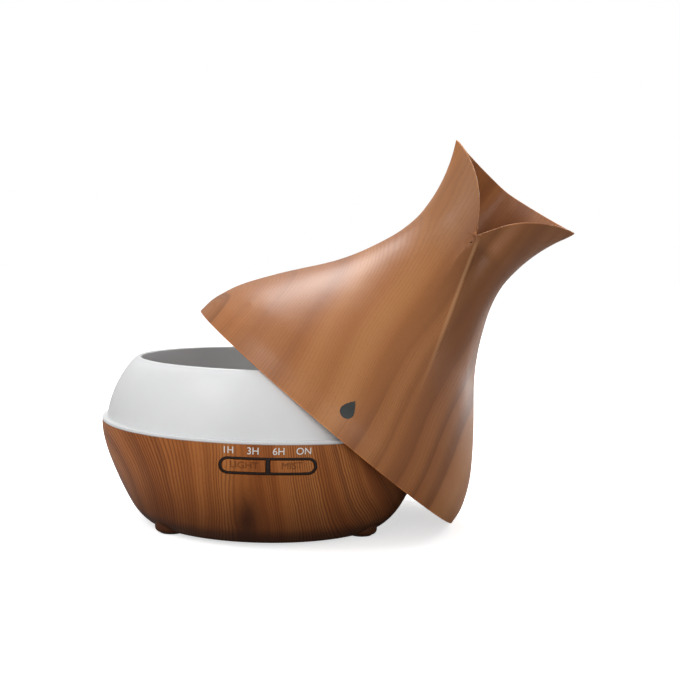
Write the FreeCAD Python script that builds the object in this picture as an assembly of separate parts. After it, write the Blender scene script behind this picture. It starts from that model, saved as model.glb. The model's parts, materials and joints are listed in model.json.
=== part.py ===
import FreeCAD, Part
import math
import os

# Essential oil diffuser: a round bowl-shaped base with a white water tank, and a vase-shaped
# cover that is lifted off and leans on the tank, with its lower edge on the table.
# Frame: origin on the base's axis at the table, +Z up, the buttons face -Y.
# All sizes are in millimetres.

V = FreeCAD.Vector

# Base bowl
LEDGE_Z = 51.3             # top edge of the bowl
BOWL_R = 84.0              # bowl radius at its top edge
BOWL_BOTTOM_Z = 1.46       # underside of the bowl
BOWL_WALL = 2.4
FLOOR_T = 2.0              # floor ring and bottom plate thickness
PLATE_R = 49.5             # bottom plate radius
PLATE_GAP = 0.2            # plate to bowl, per side
LAP = 1.9                  # how far the bowl's inner ring laps over the plate
# outline of the bowl: share of its depth, share of its top radius
BOWL_CURVE = ((0.0, 1.0), (0.12, 0.993), (0.24, 0.976), (0.48, 0.9226), (0.72, 0.855),
              (0.92, 0.778), (0.985, 0.735))

# Feet
FOOT_AZ = 37.0             # angle of each foot from the left-right line
FOOT_CENTRE_R = PLATE_R + 8.1
FOOT_R = 8.0
FOOT_ROUND = 2.2
FOOT_BOTTOM_Z = 0.6
FOOT_TOP_Z = 8.0
PAD_R = 5.5
PAD_T = 1.2
PAD_GAP = 0.15

# Water tank
TANK_FLANGE_T = 1.8        # white ledge that carries the cover
TANK_FOOT_R = BOWL_R - 2.5     # tank wall where it meets the ledge
TANK_H = 31.6              # tank rim above the bowl's top edge
TANK_RIM_R = TANK_FOOT_R - 15.2    # crest of the rim
TANK_WALL = 2.2
# outline of the tank: share of its height, share of its narrowing
TANK_CURVE = ((0.22, 0.05255), (0.38, 0.14477), (0.54, 0.27345), (0.70, 0.44503),
              (0.82, 0.60589), (0.92, 0.76942))
SPIGOT_FIT = 0.7
TANK_SPIGOT_R = BOWL_R - BOWL_WALL - SPIGOT_FIT    # short skirt that centres the tank in the bowl
TANK_SPIGOT_H = 3.0
WELL_R = BOWL_R - 19.0     # deep part of the tank, inside
WELL_FLOOR_Z = LEDGE_Z - 21.8
SHOULDER_Z = LEDGE_Z - 0.7     # shallow shelf around the deep part

# Mist maker under the tank floor
DISC_X = -20.0
DISC_HOLE_R = 8.2
DISC_R = 10.0
DISC_T = 1.2
SEAL_R = 12.5
SEAL_H = 2.9
SEAL_LIP = 0.9             # seal under the disc
HOLDER_R = 20.5
HOLDER_T = 2.0
HOLDER_SCREW_R = 17.0
HOLDER_BOSS_R = 2.8
DISC_FIT = 0.05

# Air path
FAN_X = 20.0
FAN_Y = 10.0
FAN_SIZE = 40.0
FAN_T = 10.0
FAN_Z = 6.0
FAN_BORE_R = FAN_SIZE / 2 - 1.4
FAN_CORNER_R = 3.0
FAN_HOLE = FAN_SIZE / 2 - 4.0  # screw position from the fan's centre, along each side
ROTOR_R = FAN_BORE_R - 0.8
HUB_R = 8.6
BLADES = 7
BLADE_T = 1.1
AXLE_R = 1.5
AXLE_FIT = 0.05
SHROUD_R = FAN_SIZE / 2 - 0.4
SHROUD_WALL = 1.6
CHIMNEY_R = 9.0
CHIMNEY_WALL = 1.8
CHIMNEY_TOP_Z = WELL_FLOOR_Z + 32.5
CAP_R = 11.5
CAP_WALL = 1.6
CAP_H = 9.0
CAP_SKIRT = 4.0
INTAKE_SLOTS = 7
INTAKE_SLOT_W = 2.2
INTAKE_PITCH = 4.6

# Screws through the bottom plate into the tank's posts
POST_AZ = (100.0, 220.0, 340.0)
POST_PITCH_R = 42.0
POST_R = 3.5
SCREW_R = 1.3
PILOT_R = 1.35
SCREW_HEAD_R = 2.8
SCREW_HEAD_T = 1.0
BASE_SCREW_L = 14.0

# Boards
BOARD_T = 1.6
BOARD_X = -23.0
BOARD_L = 38.0
BOARD_W = 42.0
BOARD_Z = 10.0
STANDOFF_R = 2.6
RING_GAP = 0.4             # light ring to the tank's wall
RING_IN_R = WELL_R + TANK_WALL + RING_GAP
RING_OUT_R = RING_IN_R + 7.9
RING_Z = LEDGE_Z - 7.7
RING_T = 1.2
RING_GAP_DEG = 70.0        # gap in the light ring where the buttons are
RING_TABS = (15.0, 105.0, 165.0, 285.0)
LED_COUNT = 12
LED_SIZE = 3.2
LED_T = 1.4

# Buttons
CONTROL_Z = LEDGE_Z - 9.8      # height of the button row
SLOT_L = 44.2
SLOT_H = 8.2
BUTTON_L = 19.6
BUTTON_H = 5.6
BUTTON_GAP = 2.2           # bar between the two buttons
BUTTON_FIT = 0.25
FRAME_RECESS = 0.5
FRAME_DEPTH = 3.6
FLANGE = 2.0
BUTTON_DEPTH = 4.1
BUTTON_STOP_T = 1.0
BUTTON_STOP = 0.8          # stop flange around each button, per side
BUTTON_TRAVEL = 0.6
KEY_BOARD_Y = BOWL_R - 13.5    # front face of the button board, from the axis
KEY_BOARD_L = 50.0
KEY_BOARD_H = 11.0
KEY_BOARD_T = 1.2
SWITCH_SIZE = 6.0
SWITCH_T = 3.5
ACTUATOR_R = 1.6
ACTUATOR_FIT = 0.08
PLUNGER_PROUD = 1.2        # how far a switch's plunger stands out
SWITCH_FLOOR = 0.6
SPRING_ROOM = 0.9          # room left under a pressed plunger
STEM_R = 1.8
TIMER_LAMPS = (-18.0, -6.6, 4.6, 15.6)

# Power inlet at the back
INLET_Z = 16.3
INLET_POCKET_R = 6.4
INLET_FACE_Y = BOWL_R * 0.83928571
INLET_BOSS_IN_Y = INLET_FACE_Y - 4.5
INLET_R = 4.0
INLET_FIT = 0.1
INLET_BORE_R = 2.85
INLET_BORE_L = 9.5
INLET_PIN_R = 1.0
INLET_OUT_Y = INLET_FACE_Y + 2.4
INLET_BODY = 11.0
INLET_BODY_L = 14.0
NUT_T = 2.0

# Cover
COVER_R = BOWL_R           # lower rim; the cover closes on the tank's ledge
COVER_WALL = 1.6
COVER_TOP_WALL = 1.0
NECK_R = 28.2
NECK_H = 111.0
# outline of the cover: share of the neck's height, share of the way from the neck's radius to the rim's
COVER_CURVE = ((0.0, 1.0), (0.036, 0.9946), (0.0811, 0.9803), (0.1351, 0.9427), (0.1982, 0.8853),
               (0.2658, 0.8029), (0.3559, 0.6756), (0.4685, 0.5018), (0.5676, 0.3477),
               (0.6486, 0.2455), (0.7162, 0.1738), (0.7748, 0.1201), (0.8288, 0.0753),
               (0.8829, 0.0394), (0.9369, 0.0143), (1.0, 0.0))
MOUTH_H = NECK_H + 42.6    # the two points and the back edge of the mouth
NOTCH_H = NECK_H + 6.2     # foot of the notch at the front
MOUTH_RISE = 1.3           # one point of the mouth is this much higher, the other lower
MOUTH_TIP_R = 39.8         # half of the mouth's width, point to point
MOUTH_DEEP = 27.5          # half of the mouth's depth, front to back
MOUTH_POINT = 1.4          # how pointed the mouth is; 2 would be an oval
FLARE_CURVE = 2.1          # how late the mouth opens out
FLARE_FULL = 0.97
TIP_WALL = 0.6             # how much thicker the wall is at the two points
MOUTH_STEPS = (0.17, 0.34, 0.5, 0.66, 0.8, 0.91, 1.0)
NOTCH_CURVE = 1.35         # how soon the notch's edges level out
CREASE_START_H = 45.0      # where the front crease begins to show
CREASE_DEPTH = 1.9
CREASE_WIDTH = 24.0        # degrees each side of the crease
VALLEY_DEPTH = 1.7         # hollow beside the crease, on the right
VALLEY_WIDTH = 36.0        # degrees
COVER_TURN = -4.8          # turn of the mouth about the cover's own axis
LEAN = 2.0                 # the neck stands this far off the rim's centre
# where the lifted cover leans: centre of its lower rim, and its axis
COVER_X = 29.35
COVER_Y = 1.27
TABLE_GAP = 0.26           # cover's rim to the table
COVER_TILT = 38.9
COVER_BACK_TILT = 1.61


def polar(radius, angle, z=0.0):
    a = math.radians(angle)
    return V(radius * math.cos(a), radius * math.sin(a), z)


def cyl(radius, z0, z1, x=0.0, y=0.0):
    return Part.makeCylinder(radius, z1 - z0, V(x, y, z0))


def cyl_y(radius, y0, y1, x=0.0, z=0.0):
    return Part.makeCylinder(radius, y1 - y0, V(x, y0, z), V(0, 1, 0))


def box(x0, x1, y0, y1, z0, z1):
    return Part.makeBox(x1 - x0, y1 - y0, z1 - z0, V(x0, y0, z0))


def tube(r_out, r_in, z0, z1, x=0.0, y=0.0):
    return cyl(r_out, z0, z1, x, y).cut(cyl(r_in, z0 - 1, z1 + 1, x, y))


def spline(points):
    curve = Part.BSplineCurve()
    curve.interpolate([V(r, 0, z) for r, z in points])
    return curve.toShape()


def line(a, b):
    return Part.makeLine(V(a[0], 0, a[1]), V(b[0], 0, b[1]))


def arc(a, m, b):
    return Part.Arc(V(a[0], 0, a[1]), V(m[0], 0, m[1]), V(b[0], 0, b[1])).toShape()


def turn(edges):
    face = Part.Face(Part.Wire(Part.__sortEdges__(edges)))
    return face.revolve(V(0, 0, 0), V(0, 0, 1), 360)


def offset_points(points, distance):
    """Points of an outline moved sideways, to the left of the way it runs."""
    moved = []
    for i, (r, z) in enumerate(points):
        a = points[max(i - 1, 0)]
        b = points[min(i + 1, len(points) - 1)]
        dr, dz = b[0] - a[0], b[1] - a[1]
        length = math.hypot(dr, dz)
        moved.append((r - dz / length * distance, z + dr / length * distance))
    return moved


def save(name, shape):
    shape.exportStep("parts/" + name + ".step")


def one(shapes):
    result = shapes[0]
    for s in shapes[1:]:
        result = result.fuse(s)
    return result.removeSplitter()


def group(shapes):
    return Part.makeCompound(shapes)


# Bowl -----------------------------------------------------------------------------------
def bowl_points(depth=0.0):
    height = LEDGE_Z - BOWL_BOTTOM_Z
    outer = [(BOWL_R * k, LEDGE_Z - height * t) for t, k in BOWL_CURVE]
    return offset_points(outer, -depth) if depth else outer


def bowl_body(depth=0.0):
    """Solid inside the bowl's outline, moved inwards by a depth."""
    points = bowl_points(depth)
    top = (points[0][0], LEDGE_Z)
    points[0] = top
    last = points[-1]
    low = max(BOWL_BOTTOM_Z, last[1] - 1.0)
    edges = [spline(points), line(last, (last[0] - 1.2, low)), line((last[0] - 1.2, low), (0, low)),
             line((0, low), (0, LEDGE_Z)), line((0, LEDGE_Z), top)]
    return turn(edges)


def foot_places():
    angles = (FOOT_AZ, 180 - FOOT_AZ, 180 + FOOT_AZ, -FOOT_AZ)
    return [polar(FOOT_CENTRE_R, a) for a in angles]


def stadium(length, height, y0, y1):
    """Oblong with round ends, standing in the XZ plane and running from y0 to y1."""
    r = height / 2
    half = length / 2 - r
    shape = box(-half, half, y0, y1, CONTROL_Z - r, CONTROL_Z + r)
    for x in (-half, half):
        shape = shape.fuse(cyl_y(r, y0, y1, x, CONTROL_Z))
    return shape.removeSplitter()


def make_bowl():
    ring_z = BOWL_BOTTOM_Z + FLOOR_T
    shell = bowl_body().cut(bowl_body(BOWL_WALL).cut(cyl(BOWL_R, 0, ring_z)))
    shell = shell.cut(cyl(PLATE_R + PLATE_GAP, 0, ring_z))
    lap = tube(PLATE_R + 3.0, PLATE_R - LAP, ring_z, ring_z + FLOOR_T)
    lap = lap.common(cyl(BOWL_R, 0, LEDGE_Z))
    feet = []
    for p in foot_places():
        foot = cyl(FOOT_R, FOOT_BOTTOM_Z, FOOT_TOP_Z, p.x, p.y)
        rim = [e for e in foot.Edges if abs(e.CenterOfMass.z - FOOT_BOTTOM_Z) < 0.01 and e.Closed]
        foot = foot.makeFillet(FOOT_ROUND, rim[:1])
        feet.append(foot.cut(cyl(PLATE_R + PLATE_GAP, 0, ring_z + FLOOR_T)))
    shell = shell.fuse(lap).fuse(feet[0])
    for foot in feet[1:]:
        shell = shell.fuse(foot)
    boss = cyl_y(INLET_POCKET_R + 2.0, INLET_BOSS_IN_Y, BOWL_R, 0, INLET_Z).common(bowl_body(0.6))
    shell = shell.fuse(boss)
    shell = shell.cut(cyl_y(INLET_POCKET_R, INLET_FACE_Y, BOWL_R + 5, 0, INLET_Z))
    shell = shell.cut(cyl_y(INLET_R + INLET_FIT, 50, BOWL_R, 0, INLET_Z))
    half = INLET_BODY / 2
    shell = shell.cut(box(-half, half, INLET_BOSS_IN_Y - INLET_BODY_L, INLET_BOSS_IN_Y,
                          INLET_Z - half, INLET_Z + half))
    shell = shell.cut(stadium(SLOT_L + 0.2, SLOT_H + 0.2, -BOWL_R - 5, -60))
    for p in foot_places():
        shell = shell.cut(cyl(PAD_R + PAD_GAP, -1, PAD_T, p.x, p.y))
    return shell


def make_pads():
    return group([cyl(PAD_R, 0, PAD_T, p.x, p.y) for p in foot_places()])


def post_places():
    return [polar(POST_PITCH_R, a) for a in POST_AZ]


def fan_corners():
    return [(FAN_X + sx * FAN_HOLE, FAN_Y + sy * FAN_HOLE) for sx in (-1, 1) for sy in (-1, 1)]


def board_corners():
    dx, dy = BOARD_L / 2 - 3.0, BOARD_W / 2 - 3.0
    return [(BOARD_X + sx * dx, sy * dy) for sx in (-1, 1) for sy in (-1, 1)]


def make_plate():
    z0 = BOWL_BOTTOM_Z
    z1 = z0 + FLOOR_T
    plate = cyl(PLATE_R, z0, z1)
    plate = one([plate] + [cyl(2.8, z1, FAN_Z, x, y) for x, y in fan_corners()])
    plate = one([plate] + [cyl(STANDOFF_R, z1, BOARD_Z, x, y) for x, y in board_corners()])
    for i in range(INTAKE_SLOTS):
        y = FAN_Y + (i - (INTAKE_SLOTS - 1) / 2) * INTAKE_PITCH
        half = math.sqrt(max((FAN_BORE_R - 1.5) ** 2 - (y - FAN_Y) ** 2, 1.0))
        w = INTAKE_SLOT_W / 2
        plate = plate.cut(box(FAN_X - half, FAN_X + half, y - w, y + w, z0 - 1, z1 + 1))
    for x, y in fan_corners():
        plate = plate.cut(cyl(1.05, z0 + 0.6, FAN_Z + 1, x, y))
    for x, y in board_corners():
        plate = plate.cut(cyl(1.05, z0 + 0.6, BOARD_Z + 1, x, y))
    for p in post_places():
        plate = plate.cut(cyl(SCREW_R + 0.3, z0 - 1, z1 + 1, p.x, p.y))
        plate = plate.cut(cyl(SCREW_HEAD_R + 0.2, z0 - 1, z0 + SCREW_HEAD_T, p.x, p.y))
    return plate


def screw(x, y, z, length, radius, head_r, head_t, up=True):
    """Screw with its head's seat at z; the shank runs up, or down."""
    if up:
        body = cyl(radius, z, z + length, x, y).fuse(cyl(head_r, z - head_t, z, x, y))
        slot = box(x - head_r, x + head_r, y - 0.3, y + 0.3, z - head_t - 1, z - head_t + 0.4)
        cross = box(x - 0.3, x + 0.3, y - head_r, y + head_r, z - head_t - 1, z - head_t + 0.4)
    else:
        body = cyl(radius, z - length, z, x, y).fuse(cyl(head_r, z, z + head_t, x, y))
        slot = box(x - head_r, x + head_r, y - 0.3, y + 0.3, z + head_t - 0.4, z + head_t + 1)
        cross = box(x - 0.3, x + 0.3, y - head_r, y + head_r, z + head_t - 0.4, z + head_t + 1)
    keep = cyl(head_r * 0.62, z - 50, z + 50, x, y)
    return body.removeSplitter().cut(slot.fuse(cross).common(keep))


# Tank -----------------------------------------------------------------------------------
def tank_outer_points():
    points = [(TANK_FOOT_R, LEDGE_Z + TANK_FLANGE_T)]
    narrowing = TANK_FOOT_R - TANK_RIM_R
    points += [(TANK_FOOT_R - narrowing * k, LEDGE_Z + TANK_H * t) for t, k in TANK_CURVE]
    return points


def make_tank():
    outer = tank_outer_points()
    inner = offset_points(outer, TANK_WALL)
    top = LEDGE_Z + TANK_H
    lip_out = (TANK_RIM_R + 1.6, top - 0.85)
    lip_in = (TANK_RIM_R - 1.1, top - 0.55)
    flange_top = LEDGE_Z + TANK_FLANGE_T
    flange_r = BOWL_R
    spigot = LEDGE_Z - TANK_SPIGOT_H
    well_wall = WELL_R + TANK_WALL
    floor = WELL_FLOOR_Z
    under = WELL_FLOOR_Z - TANK_WALL
    shelf = SHOULDER_Z
    a_in = (inner[0][0], flange_top + 1.0)
    shelf_out = (inner[0][0] - 2.5, shelf)
    shelf_in = (WELL_R + 1.6, shelf - 1.2)
    edges = [
        spline(outer + [lip_out]),
        arc(lip_out, (TANK_RIM_R + 0.7, top - 0.1), (TANK_RIM_R, top)),
        arc((TANK_RIM_R, top), (TANK_RIM_R - 0.8, top - 0.15), lip_in),
        spline([lip_in] + inner[:0:-1] + [a_in]),
        arc(a_in, (a_in[0] - 0.75, shelf + 0.75), shelf_out),
        line(shelf_out, shelf_in),
        line(shelf_in, (WELL_R, shelf - 3.4)),
        line((WELL_R, shelf - 3.4), (WELL_R - 4.0, floor + 3.0)),
        line((WELL_R - 4.0, floor + 3.0), (WELL_R - 7.0, floor)),
        line((WELL_R - 7.0, floor), (0, floor)),
        line((0, floor), (0, under)),
        line((0, under), (WELL_R - 6.0, under)),
        line((WELL_R - 6.0, under), (WELL_R - 1.8, floor + 2.2)),
        line((WELL_R - 1.8, floor + 2.2), (well_wall, shelf - 3.4)),
        line((well_wall, shelf - 3.4), (TANK_SPIGOT_R - 2.4, shelf - 2.6)),
        line((TANK_SPIGOT_R - 2.4, shelf - 2.6), (TANK_SPIGOT_R - 2.0, spigot)),
        line((TANK_SPIGOT_R - 2.0, spigot), (TANK_SPIGOT_R, spigot)),
        line((TANK_SPIGOT_R, spigot), (TANK_SPIGOT_R, LEDGE_Z)),
        line((TANK_SPIGOT_R, LEDGE_Z), (flange_r - 0.4, LEDGE_Z)),
        line((flange_r - 0.4, LEDGE_Z), (flange_r, LEDGE_Z + 0.4)),
        line((flange_r, LEDGE_Z + 0.4), (flange_r, flange_top - 0.7)),
        arc((flange_r, flange_top - 0.7), (flange_r - 0.2, flange_top - 0.2),
            (flange_r - 0.7, flange_top)),
        line((flange_r - 0.7, flange_top), outer[0]),
    ]
    tank = turn(edges)
    plate_top = BOWL_BOTTOM_Z + FLOOR_T
    for p in post_places():
        tank = tank.fuse(cyl(POST_R, plate_top, floor - 1.0, p.x, p.y))
    for a in (0.0, 120.0, 240.0):
        p = polar(HOLDER_SCREW_R, a)
        tank = tank.fuse(cyl(HOLDER_BOSS_R, under - SEAL_H, under + 0.5, DISC_X + p.x, p.y))
    tank = tank.cut(cyl(CHIMNEY_R, under - 1, floor + 1, FAN_X, FAN_Y))
    tank = tank.cut(cyl(DISC_HOLE_R, under - 1, floor + 1, DISC_X, 0))
    for a in RING_TABS:
        tab = box(WELL_R - 0.6, RING_IN_R + 2.0, -3, 3, RING_Z - 1.6, RING_Z)
        tab.rotate(V(0, 0, 0), V(0, 0, 1), a)
        tank = tank.fuse(tab)
    for p in post_places():
        tank = tank.cut(cyl(PILOT_R, plate_top - 1, plate_top + BASE_SCREW_L + 1, p.x, p.y))
    for a in (0.0, 120.0, 240.0):
        p = polar(HOLDER_SCREW_R, a)
        tank = tank.cut(cyl(0.9, under - SEAL_H - 1, under + 0.2, DISC_X + p.x, p.y))
    return tank.removeSplitter()


def make_duct():
    """Shroud over the fan, with the tube that leads the air up through the tank."""
    under = WELL_FLOOR_Z - TANK_WALL
    low = FAN_Z + FAN_T + 1.6
    duct = tube(SHROUD_R, SHROUD_R - SHROUD_WALL, low, under, FAN_X, FAN_Y)
    duct = duct.fuse(cyl(SHROUD_R, under - SHROUD_WALL, under, FAN_X, FAN_Y))
    duct = duct.fuse(cyl(CHIMNEY_R, under - 0.5, CHIMNEY_TOP_Z, FAN_X, FAN_Y))
    duct = duct.cut(cyl(CHIMNEY_R - CHIMNEY_WALL, low, CHIMNEY_TOP_Z + 1, FAN_X, FAN_Y))
    return duct.removeSplitter()


def make_cap():
    z0 = CHIMNEY_TOP_Z - CAP_SKIRT
    z1 = z0 + CAP_H
    outer = cyl(CAP_R, z0, z1, FAN_X, FAN_Y)
    rim = [e for e in outer.Edges if e.Closed and abs(e.CenterOfMass.z - z1) < 0.01]
    outer = outer.makeFillet(2.0, rim[:1])
    cap = outer.cut(cyl(CAP_R - CAP_WALL, z0 - 1, z1 - CAP_WALL, FAN_X, FAN_Y))
    vent_z = CHIMNEY_TOP_Z + 0.6
    for a in (0.0, 60.0, 120.0):
        vent = box(-CAP_R - 2, CAP_R + 2, -2.6, 2.6, vent_z, vent_z + 2.0)
        vent.rotate(V(0, 0, 0), V(0, 0, 1), a)
        vent.translate(V(FAN_X, FAN_Y, 0))
        cap = cap.cut(vent)
    for a in (30.0, 150.0, 270.0):
        p = polar((CHIMNEY_R + CAP_R - CAP_WALL) / 2 + 0.1, a)
        rib = box(CHIMNEY_R, CAP_R - CAP_WALL + 0.5, -0.8, 0.8, z0, CHIMNEY_TOP_Z - 0.5)
        rib.rotate(V(0, 0, 0), V(0, 0, 1), a)
        rib.translate(V(FAN_X, FAN_Y, 0))
        cap = cap.fuse(rib)
    cap = cap.cut(cyl(CHIMNEY_R, z0 - 1, CHIMNEY_TOP_Z, FAN_X, FAN_Y))
    return cap.removeSplitter()


# Mist maker -----------------------------------------------------------------------------
def make_mist_maker():
    under = WELL_FLOOR_Z - TANK_WALL
    disc_z = under - SEAL_H + SEAL_LIP
    disc = cyl(DISC_R, disc_z, disc_z + DISC_T, DISC_X, 0)
    seal = tube(SEAL_R, DISC_HOLE_R, under - SEAL_H, under, DISC_X, 0)
    seal = seal.cut(cyl(DISC_R + DISC_FIT, disc_z, disc_z + DISC_T, DISC_X, 0))
    top = under - SEAL_H
    holder = tube(HOLDER_R, DISC_HOLE_R + 0.6, top - HOLDER_T, top, DISC_X, 0)
    screws = []
    for a in (0.0, 120.0, 240.0):
        p = polar(HOLDER_SCREW_R, a)
        holder = holder.cut(cyl(1.15, top - HOLDER_T - 1, top + 1, DISC_X + p.x, p.y))
        screws.append(screw(DISC_X + p.x, p.y, top - HOLDER_T, 4.4, 0.85, 1.9, 1.2))
    save("mist_disc", disc)
    save("mist_disc_seal", seal)
    save("mist_disc_holder", holder)
    save("mist_disc_screws", group(screws))


# Fan ------------------------------------------------------------------------------------
def make_fan():
    h = FAN_SIZE / 2
    z0, z1 = FAN_Z, FAN_Z + FAN_T
    frame = box(FAN_X - h, FAN_X + h, FAN_Y - h, FAN_Y + h, z0, z1)
    corners = [e for e in frame.Edges if abs(e.Length - FAN_T) < 0.01]
    frame = frame.makeFillet(FAN_CORNER_R, corners)
    frame = frame.cut(cyl(FAN_BORE_R, z0 - 1, z1 + 1, FAN_X, FAN_Y))
    waist = tube(40, FAN_BORE_R + 1.6, z0 + 2.0, z1 - 2.0, FAN_X, FAN_Y)
    keep = None
    for x, y in fan_corners():
        c = cyl(3.2, z0, z1, x, y)
        keep = c if keep is None else keep.fuse(c)
    frame = frame.cut(waist.cut(keep))
    arms = box(FAN_X - FAN_BORE_R - 1, FAN_X + FAN_BORE_R + 1, FAN_Y - 1.2, FAN_Y + 1.2, z0, z0 + 1.4)
    cross = box(FAN_X - 1.2, FAN_X + 1.2, FAN_Y - FAN_BORE_R - 1, FAN_Y + FAN_BORE_R + 1, z0, z0 + 1.4)
    seat = cyl(HUB_R, z0, z0 + 1.4, FAN_X, FAN_Y)
    axle = cyl(AXLE_R, z0 + 1.0, z0 + 6.0, FAN_X, FAN_Y)
    frame = one([frame, arms, cross, seat, axle])
    for x, y in fan_corners():
        frame = frame.cut(cyl(1.4, z0 - 1, z1 + 1, x, y))
    hub_z0, hub_z1 = z0 + 1.8, z1 - 0.6
    hub = cyl(HUB_R, hub_z0, hub_z1, FAN_X, FAN_Y)
    rotor = hub
    for i in range(BLADES):
        blade = box(HUB_R - 1.0, ROTOR_R + 4, -BLADE_T / 2, BLADE_T / 2, -9, 9)
        blade.rotate(V(0, 0, 0), V(1, 0, 0), 48)
        blade.translate(V(0, 0, (hub_z0 + hub_z1) / 2))
        blade.rotate(V(0, 0, 0), V(0, 0, 1), 360.0 / BLADES * i)
        blade.translate(V(FAN_X, FAN_Y, 0))
        room = tube(ROTOR_R, HUB_R - 0.6, hub_z0 + 0.3, hub_z1 - 0.3, FAN_X, FAN_Y)
        rotor = rotor.fuse(blade.common(room))
    rotor = rotor.cut(cyl(AXLE_R + AXLE_FIT, hub_z0 - 1, z0 + 6.3, FAN_X, FAN_Y))
    screws = [screw(x, y, z1, FAN_T + 3.0, 1.0, 2.1, 1.3, False) for x, y in fan_corners()]
    save("fan_frame", frame)
    save("fan_rotor", rotor)
    save("fan_screws", group(screws))


# Boards ---------------------------------------------------------------------------------
def make_boards():
    x0, x1 = BOARD_X - BOARD_L / 2, BOARD_X + BOARD_L / 2
    y0, y1 = -BOARD_W / 2, BOARD_W / 2
    top = BOARD_Z + BOARD_T
    board = box(x0, x1, y0, y1, BOARD_Z, top)
    screws = []
    for x, y in board_corners():
        board = board.cut(cyl(1.3, BOARD_Z - 1, top + 1, x, y))
        screws.append(screw(x, y, top, 6.0, 1.0, 2.0, 1.2, False))
    parts = [
        cyl(4.0, top, top + 7.0, BOARD_X - 9, -8),
        cyl(3.0, top, top + 6.0, BOARD_X + 3, -12),
        box(BOARD_X - 12, BOARD_X - 4, 2, 12, top, top + 1.6),
        box(BOARD_X + 2, BOARD_X + 12, 8, 14, top, top + 2.0),
        tube(4.2, 1.8, top, top + 4.0, BOARD_X + 11, -2),
        box(BOARD_X - 10, BOARD_X - 2, -20, -15.5, top, top + 5.0),
        box(BOARD_X - 2, BOARD_X + 8, 16.0, 20.0, top, top + 5.0),
    ]
    sink = box(BOARD_X + 3, BOARD_X + 12, 4.0, 7.4, top, top + 7.0)
    for i in range(3):
        z = top + 1.6 + i * 2.0
        sink = sink.cut(box(BOARD_X, BOARD_X + 14, 5.2, 9.0, z, z + 0.9))
    save("main_board", board)
    save("main_board_screws", group(screws))
    save("board_components", group(parts))
    save("heat_sink", sink)


def make_light_ring():
    ring = tube(RING_OUT_R, RING_IN_R, RING_Z, RING_Z + RING_T)
    half = RING_GAP_DEG / 2
    far = RING_OUT_R * 2
    a, b = polar(far, -90 - half), polar(far, -90 + half)
    wedge = Part.Face(Part.makePolygon([V(0, 0, 0), a, b, V(0, 0, 0)]))
    ring = ring.cut(wedge.extrude(V(0, 0, 200)))
    lamps = []
    span = 360.0 - RING_GAP_DEG - 16.0
    for i in range(LED_COUNT):
        lamp = box(-LED_SIZE / 2, LED_SIZE / 2, -LED_SIZE / 2, LED_SIZE / 2, 0, LED_T)
        lamp.translate(V((RING_IN_R + RING_OUT_R) / 2 + 0.6, 0, RING_Z + RING_T))
        lamp.rotate(V(0, 0, 0), V(0, 0, 1), -90 + half + 8.0 + span * i / (LED_COUNT - 1))
        lamps.append(lamp)
    save("light_ring_board", ring)
    save("light_ring_lamps", group(lamps))


# Buttons --------------------------------------------------------------------------------
def button_outline(side, grow, y0, y1):
    """One button's outline: round at the outer end, square next to the bar."""
    r = BUTTON_H / 2 + grow
    inner = BUTTON_GAP / 2 - grow
    outer = BUTTON_GAP / 2 + BUTTON_L + grow
    lo, hi = sorted((side * inner, side * (outer - r)))
    shape = box(lo, hi, y0, y1, CONTROL_Z - r, CONTROL_Z + r)
    return shape.fuse(cyl_y(r, y0, y1, side * (outer - r), CONTROL_Z)).removeSplitter()


def make_controls():
    y0, y1 = -BOWL_R - 5, -60.0
    skin = bowl_body(FRAME_RECESS)
    back = bowl_body(FRAME_DEPTH)
    frame = stadium(SLOT_L, SLOT_H, y0, y1).common(skin.cut(back))
    behind = bowl_body(BOWL_WALL + 0.05)
    rim = stadium(SLOT_L + 2 * FLANGE, SLOT_H + 2 * FLANGE, y0, y1).common(behind.cut(back))
    frame = frame.fuse(rim)
    for side in (-1, 1):
        frame = frame.cut(button_outline(side, BUTTON_FIT, y0, y1))
    posts = []
    for x in (-23.0, 23.0):
        post = cyl_y(1.5, -KEY_BOARD_Y - 8, -KEY_BOARD_Y, x, CONTROL_Z)
        posts.append(post.common(bowl_body(FRAME_DEPTH - 0.5)))
    frame = one([frame] + posts)
    save("button_frame", frame)

    stop_in = bowl_body(BUTTON_DEPTH)
    stop_out = bowl_body(BUTTON_DEPTH + BUTTON_STOP_T)
    face_y = KEY_BOARD_Y + SWITCH_T + PLUNGER_PROUD
    reach = PLUNGER_PROUD + SWITCH_T - SWITCH_FLOOR - BUTTON_TRAVEL - SPRING_ROOM
    for side, name in ((-1, "light"), (1, "mist")):
        cap = button_outline(side, 0.0, y0, y1).common(bowl_body().cut(stop_out))
        lip = button_outline(side, BUTTON_STOP, y0, y1).common(stop_in.cut(stop_out))
        x = side * (BUTTON_GAP / 2 + BUTTON_L / 2)
        stem = cyl_y(STEM_R, -face_y - 4.0, -face_y, x, CONTROL_Z).common(stop_in)
        save(name + "_button", one([cap, lip, stem]))
        save(name + "_plunger", cyl_y(ACTUATOR_R, -face_y, -face_y + reach, x, CONTROL_Z))


def make_key_board():
    half = KEY_BOARD_L / 2
    y = -KEY_BOARD_Y
    board = box(-half, half, y, y + KEY_BOARD_T, CONTROL_Z - KEY_BOARD_H / 2, CONTROL_Z + KEY_BOARD_H / 2)
    switches = []
    s = SWITCH_SIZE / 2
    for side in (-1, 1):
        x = side * (BUTTON_GAP / 2 + BUTTON_L / 2)
        body = box(x - s, x + s, y - SWITCH_T, y, CONTROL_Z - s, CONTROL_Z + s)
        body = body.cut(cyl_y(ACTUATOR_R + ACTUATOR_FIT, y - SWITCH_T - 1, y - SWITCH_FLOOR, x, CONTROL_Z))
        switches.append(body)
    save("button_board", board)
    save("button_switches", group(switches))


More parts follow.
